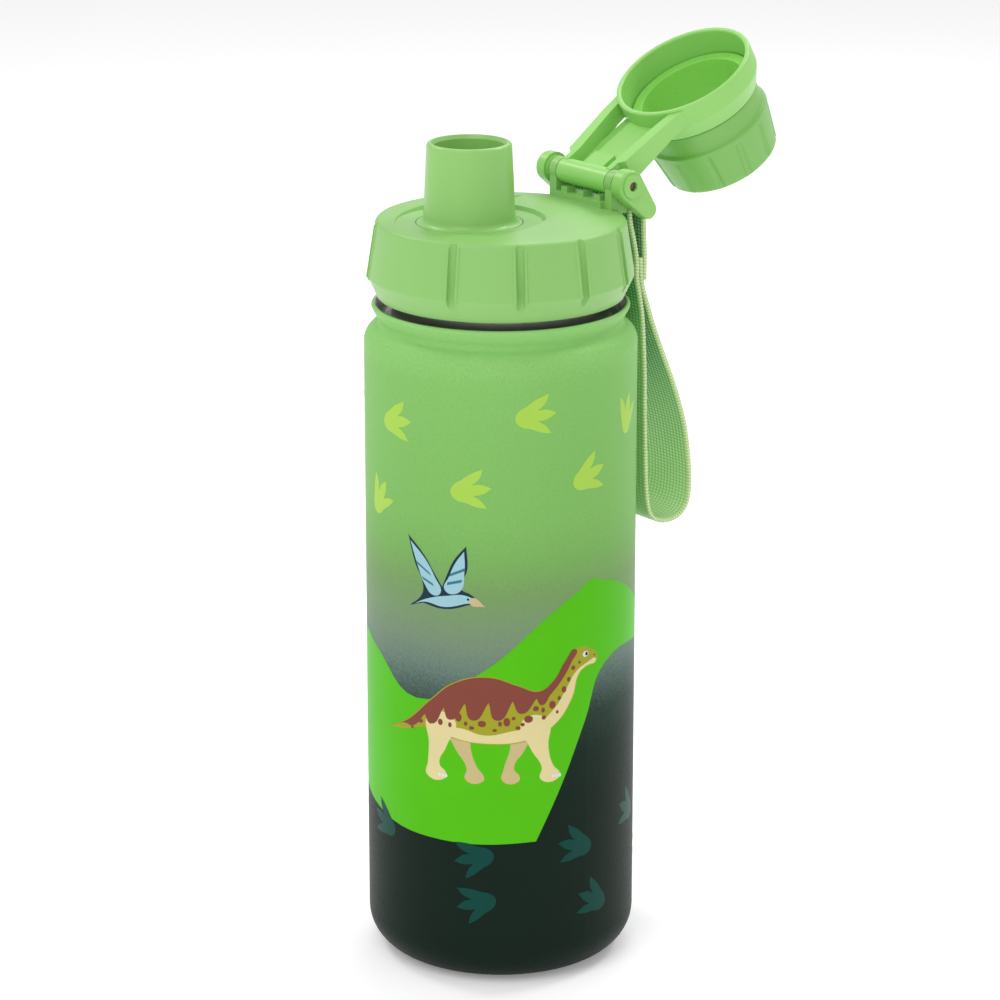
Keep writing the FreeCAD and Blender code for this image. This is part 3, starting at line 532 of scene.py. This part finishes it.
bird_shadow = [
    (-10.0, 10.8, "sharp"), (-4.6, 6.0, "soft"), (-1.0, 0.8, "soft"), (1.4, -2.8, "sharp"),
    (3.0, 1.2, "soft"), (5.0, 5.4, "soft"), (8.6, 9.8, "sharp"), (8.9, 3.0, "soft"), (7.2, -2.8, "soft"),
    (9.8, -4.2, "soft"), (11.4, -6.0, "soft"), (8.4, -7.6, "soft"), (2.0, -9.2, "soft"),
    (-4.8, -8.4, "sharp"), (-9.6, -10.0, "sharp"), (-5.2, -6.0, "soft"), (-4.8, -3.0, "soft"),
    (-7.6, 3.0, "soft"),
]
bird_parts = [
    [(-9.2, 9.2, "sharp"), (-4.2, 4.8, "soft"), (-0.9, -0.2, "soft"), (0.9, -4.6, "soft"),
     (-1.4, -5.6, "soft"), (-4.1, -3.0, "soft"), (-6.8, 2.8, "soft")],
    [(8.0, 8.2, "sharp"), (5.4, 4.6, "soft"), (3.6, 0.6, "soft"), (2.2, -3.6, "soft"), (6.4, -3.9, "soft"),
     (8.1, 2.6, "soft")],
    [(-7.8, -9.2, "sharp"), (-3.6, -7.0, "soft"), (3.0, -5.2, "soft"), (9.0, -4.8, "soft"),
     (10.6, -6.0, "soft"), (8.0, -7.1, "soft"), (2.0, -8.6, "soft"), (-4.2, -8.0, "soft")],
]
bird_bars = [
    [(-7.0, 3.6, "sharp"), (-2.6, 0.8, "sharp"), (-2.2, 0.0, "sharp"), (-6.7, 2.7, "sharp")],
    [(-5.2, -0.6, "sharp"), (-1.6, -2.2, "sharp"), (-1.2, -3.0, "sharp"), (-4.7, -1.5, "sharp")],
    [(3.9, 1.4, "sharp"), (8.1, 3.4, "sharp"), (8.1, 2.5, "sharp"), (3.6, 0.5, "sharp")],
    [(3.1, -1.2, "sharp"), (7.4, 0.0, "sharp"), (7.2, -0.9, "sharp"), (2.8, -2.1, "sharp")],
]
bird_bill = [(10.2, -5.2, "soft"), (14.0, -7.6, "sharp"), (9.6, -6.9, "soft")]
bird_eye = [blob(9.1, -5.7, 0.35, 0.35)]
dark_ink = ink("dark_ink", (30, 52, 66))
blue_ink = ink("blue_ink", (158, 202, 214))
teal_bar_ink = ink("teal_bar_ink", (62, 122, 140))
sand_ink = ink("sand_ink", (205, 184, 140))
bird = [(dark_ink, [bird_shadow]), (blue_ink, bird_parts), (teal_bar_ink, bird_bars), (sand_ink, [bird_bill]),
        (black_ink, bird_eye)]
printed("printed_bird_front", bird, -27, 115.5, 1, scale=0.94)
printed("printed_bird_back", bird, 150, 118, 1, scale=0.9, mirror=True)


# ---- Hand strap: woven polyester webbing ----------------------------------------------------
# One 25 mm length of two-coloured webbing goes round the yoke's bar and is sewn flat below it, and
# what is left makes the hand loop. Pale weft dots sit on an emerald ground between pale selvedges.

strap_width = 25.0 * mm
strap_thickness = 1.05 * mm
columns = 58
warp_pitch = strap_width / columns * 3
weft_pitch = 0.9 * mm
weave_depth = 0.09 * mm
selvedge_width = 0.9 * mm
strap_route = [
    (39.75, 184.2), (39.75, 187.5), (39.75, 191.5), (39.5, 196), (39.3, 201), (39.25, 207.05),
    (34.35, 207.05), (34.35, 201.0), (35.9, 195.8), (36.9, 191.2), (37.0, 188), (37.05, 184.5), (38.4, 179),
    (39.5, 172), (40.1, 160), (40.4, 146), (40.8, 132), (41.3, 122.5), (43.0, 116.6), (47.5, 114.6),
    (52.5, 114.9), (56.4, 117.9), (57.2, 125), (56.3, 134), (54.4, 143.5), (51.2, 152.3), (47.6, 160.6),
    (43.6, 169.6), (41.2, 176.5), (39.2, 182.0), (38.4, 185.5), (38.38, 190.6),
]


def smooth_route(points):
    """Points along one smooth line through the strap's middle, with the distance to each."""
    curve = bpy.data.curves.new("route", "CURVE")
    curve.dimensions = "3D"
    spline = curve.splines.new("NURBS")
    spline.points.add(len(points) - 1)
    for point, (y, z) in zip(spline.points, points):
        point.co = (0, y * mm, z * mm, 1)
    spline.order_u = 3
    spline.use_endpoint_u = True
    curve.resolution_u = 16
    holder = bpy.data.objects.new("route", curve)
    mesh = bpy.data.meshes.new_from_object(holder)
    line = [vert.co.copy() for vert in mesh.vertices]
    bpy.data.objects.remove(holder)
    bpy.data.curves.remove(curve)
    bpy.data.meshes.remove(mesh)
    lengths = [0.0]
    for first, second in zip(line, line[1:]):
        lengths.append(lengths[-1] + (second - first).length)
    return line, lengths


def along(line, lengths, distance):
    """The place and direction at that distance along the line."""
    index = 1
    while index < len(lengths) - 1 and lengths[index] < distance:
        index += 1
    first, second = line[index - 1], line[index]
    share = (distance - lengths[index - 1]) / max(lengths[index] - lengths[index - 1], 1e-9)
    before = line[max(index - 2, 0)]
    after = line[min(index + 1, len(line) - 1)]
    return first.lerp(second, share), (after - before).normalized()


def webbing():
    """The band: a flat grid laid along the route, with each yarn raised, then given its thickness."""
    sway_depth, sway_run = 0.10 * mm, 9 * mm
    line, lengths = smooth_route(strap_route)
    total = lengths[-1]
    rows = 3 * round(total / weft_pitch)
    band = bmesh.new()
    bmesh.ops.create_grid(band, x_segments=columns, y_segments=rows, size=0.5)
    layer = band.loops.layers.uv.new("cloth")
    for face in band.faces:
        for loop in face.loops:
            loop[layer].uv = (loop.vert.co.x + 0.5, (loop.vert.co.y + 0.5) * total / strap_width)
    stations = {}
    for vert in band.verts:
        station = round((vert.co.y + 0.5) * rows)
        if station not in stations:
            stations[station] = along(line, lengths, station / rows * total)
        place, direction = stations[station]
        across = vert.co.x * strap_width
        distance = station / rows * total
        warp = math.sin(2 * math.pi * across / warp_pitch)
        weft = math.sin(2 * math.pi * distance / weft_pitch)
        edge = max(0.0, abs(across) - strap_width / 2 + selvedge_width) / selvedge_width
        lift = weave_depth * (0.5 * (1 + warp) * (1 + weft) * (1 - edge) - 0.5 + 0.5 * edge * weft)
        sway = sway_depth * noise.noise(Vector((7, distance / sway_run, vert.co.x)))
        normal = Vector((0, -direction.z, direction.y))
        widened = across * (1 + 0.006 * edge * weft)
        vert.co = Vector((widened, place.y, place.z)) + normal * (lift + sway)
    bmesh.ops.recalc_face_normals(band, faces=band.faces)
    piece = placed("strap_webbing_woven", band, smooth=True)
    wall = piece.modifiers.new("thickness", "SOLIDIFY")
    wall.thickness = strap_thickness
    wall.offset = 0
    return piece


def woven_cloth():
    finish = Finish("woven_cloth")
    sheet = finish.node("ShaderNodeUVMap", uv_map="cloth").outputs[0]
    across, distance, _ = finish.split(sheet)

    def yarns(value, count):
        """Rises and falls between 0 and 1 once for each yarn."""
        wave = finish.math("SINE", finish.both(value, 2 * math.pi * count))
        return finish.both(finish.math("ADD", wave, 1.0), 0.5)

    from_middle = finish.math("SUBTRACT", across, 0.5)
    weft = yarns(distance, strap_width / weft_pitch)
    warp = yarns(from_middle, strap_width / warp_pitch)
    dots = finish.math("MULTIPLY", finish.both(weft, warp), 1.5, clamp=True)
    selvedge = finish.math("GREATER_THAN", finish.math("ABSOLUTE", from_middle),
                           0.5 - selvedge_width / strap_width)
    fibre = finish.noise(30, 3.0, (12, 1, 1), sheet)
    # painted light and shade: the webbing stays emerald round the bar, in the tab and up the outer leg, where
    # it lies in shade, and is painted lighter, a pale green with larger pale dots, down the inner leg and
    # round the bend, where light falls
    route_length = 210 * mm
    travelled = finish.both(distance, strap_width / route_length)
    painted_light_stops = [(0, 0.0), (51, 0.0), (66, 0.85), (120, 1.0), (132, 1.0), (178, 0.0), (210, 0.0)]
    painted_light_share = finish.ramp(travelled, [(at * mm / route_length, (much, much, much, 1)) for at, much in painted_light_stops])
    emerald = finish.mixed(fibre, srgb(14, 142, 74), srgb(48, 170, 94))
    # painted light: the emerald ground made lighter where light falls on the webbing
    lit_ground = finish.mixed(fibre, srgb(126, 204, 116), srgb(164, 224, 144))
    pale = finish.mixed(fibre, srgb(206, 228, 164), srgb(232, 244, 196))
    # painted light: the pale dots grow where the webbing is painted lighter
    dots_and_painted_light = finish.both(dots, finish.between(painted_light_share, 0.6, 1.0))
    cloth = finish.mixed(dots_and_painted_light, finish.mixed(painted_light_share, emerald, lit_ground), pale)
    edge_tone = finish.mixed(weft, srgb(170, 208, 136), srgb(222, 238, 182))
    finish.bump(finish.math("ADD", finish.both(fibre, 0.6), dots), 0.05 * mm, 0.5)
    return finish.set(base_color=finish.mixed(selvedge, cloth, edge_tone),
                      roughness=finish.between(fibre, 0.6, 0.8), sheen_weight=0.3, sheen_roughness=0.4)


strap = webbing()
strap.data.materials.append(woven_cloth())
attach(strap, "strap")
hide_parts("strap_webbing")


# ---- Tab stitching: polyester thread --------------------------------------------------------
# The sewn tab has a box of lock stitches right through its layers, pale thread on both faces.

tab_low, tab_high = 184.9 * mm, 190.3 * mm
tab_faces = (36.28 * mm, 40.5 * mm)
stitch_pitch = 2.2 * mm
stitch_half_length = 0.41 * stitch_pitch
stitch_inset = 1.8 * mm
thread_radius = 0.24 * mm


def stitch_row(cloth, start, end, depth):
    """Lock stitches from start to end, as (x, z), on the face at that depth."""
    run = Vector((end[0] - start[0], 0, end[1] - start[1]))
    count = max(1, round(run.length / stitch_pitch))
    turn = run.normalized().to_track_quat("X", "Y").to_matrix().to_4x4()
    for number in range(count):
        middle = Vector((start[0], depth, start[1])) + run * ((number + 0.5) / count)
        made = bmesh.ops.create_uvsphere(cloth, u_segments=8, v_segments=6, radius=1.0)["verts"]
        bmesh.ops.scale(cloth, vec=(stitch_half_length, thread_radius, thread_radius * 1.2), verts=made)
        bmesh.ops.transform(cloth, matrix=turn, verts=made)
        bmesh.ops.translate(cloth, vec=middle, verts=made)


def tab_thread():
    cloth = bmesh.new()
    side = strap_width / 2 - stitch_inset
    for depth in tab_faces:
        corners = [(-side, tab_low), (side, tab_low), (side, tab_high), (-side, tab_high), (-side, tab_low)]
        for start, end in zip(corners, corners[1:]):
            stitch_row(cloth, start, end, depth)
        stitch_row(cloth, (-side, tab_low), (side, tab_high), depth)
        stitch_row(cloth, (-side, tab_high), (side, tab_low), depth)
    return placed("tab_thread", cloth, smooth=True)


def thread():
    finish = Finish("thread")
    twist = finish.noise(1500, 2.0, (3, 1, 1))
    tone = finish.mixed(twist, srgb(160, 200, 122), srgb(206, 228, 164))
    finish.bump(twist, 0.05 * mm, 0.8)
    return finish.set(base_color=tone, roughness=finish.between(twist, 0.5, 0.7), sheen_weight=0.2)


stitches = tab_thread()
stitches.data.materials.append(thread())
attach(stitches, "strap")
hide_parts("tab_stitches")


# ---- Studio: floor, light and camera --------------------------------------------------------
# A wide pale floor and a white surround. One large soft light stands in front, three smaller ones
# behind draw the soft edges of light, and a long lens looks down a little on the bottle.

def pale_floor():
    floor = bmesh.new()
    bmesh.ops.create_grid(floor, x_segments=1, y_segments=1, size=6.0)
    plane = placed("floor", floor)
    finish = Finish("floor_paper")
    tone = finish.mixed(finish.noise(3, 2.0), (0.95, 0.95, 0.95, 1), (0.97, 0.97, 0.97, 1))
    paper = finish.set(base_color=tone, roughness=0.9, emission_color=(1.0, 1.0, 1.0, 1.0),
                       emission_strength=0.2)
    plane.data.materials.append(paper)


def towards(azimuth, elevation):
    """The direction at those degrees. Azimuth 0 is in front, 90 to the right and 180 behind."""
    turn, rise = math.radians(azimuth), math.radians(elevation)
    return Vector((math.sin(turn) * math.cos(rise), -math.cos(turn) * math.cos(rise), math.sin(rise)))


def aimed(name, data, away, distance):
    """A light or camera at that distance from the bottle's middle, turned to face it."""
    holder = bpy.data.objects.new(name, data)
    holder.location = look_at + away * distance
    holder.rotation_euler = away.to_track_quat("Z", "Y").to_euler()
    bpy.context.scene.collection.objects.link(holder)
    return holder


def soft_light(name, azimuth, elevation, distance, size, power):
    lamp = bpy.data.lights.new(name, "AREA")
    lamp.size = size
    lamp.energy = power
    aimed(name, lamp, towards(azimuth, elevation), distance)


look_at = Vector((0, 0, 126.78 * mm))
view_azimuth, view_elevation, view_distance = 51.5, 16.69, 1.035
pale_floor()
soft_light("key_light", view_azimuth - 25, 48, distance=1.4, size=0.9, power=6.0)
soft_light("left_rim_light", view_azimuth - 125, 48, distance=1.2, size=0.3, power=2.6)
soft_light("right_rim_light", view_azimuth + 120, 48, distance=1.2, size=0.3, power=3.4)
soft_light("back_light", view_azimuth + 168, 44, distance=1.3, size=0.7, power=2.8)
world = bpy.data.worlds.new("surround")
world.use_nodes = True
backdrop = world.node_tree.nodes["Background"]
backdrop.inputs["Color"].default_value = (1, 1, 1, 1)
backdrop.inputs["Strength"].default_value = 0.64
bpy.context.scene.world = world
bpy.context.scene.view_settings.view_transform = "Standard"

lens = bpy.data.cameras.new("camera")
lens.lens = 138.0
lens.shift_x = -0.0007
bpy.context.scene.camera = aimed("camera", lens, towards(view_azimuth, view_elevation), view_distance)
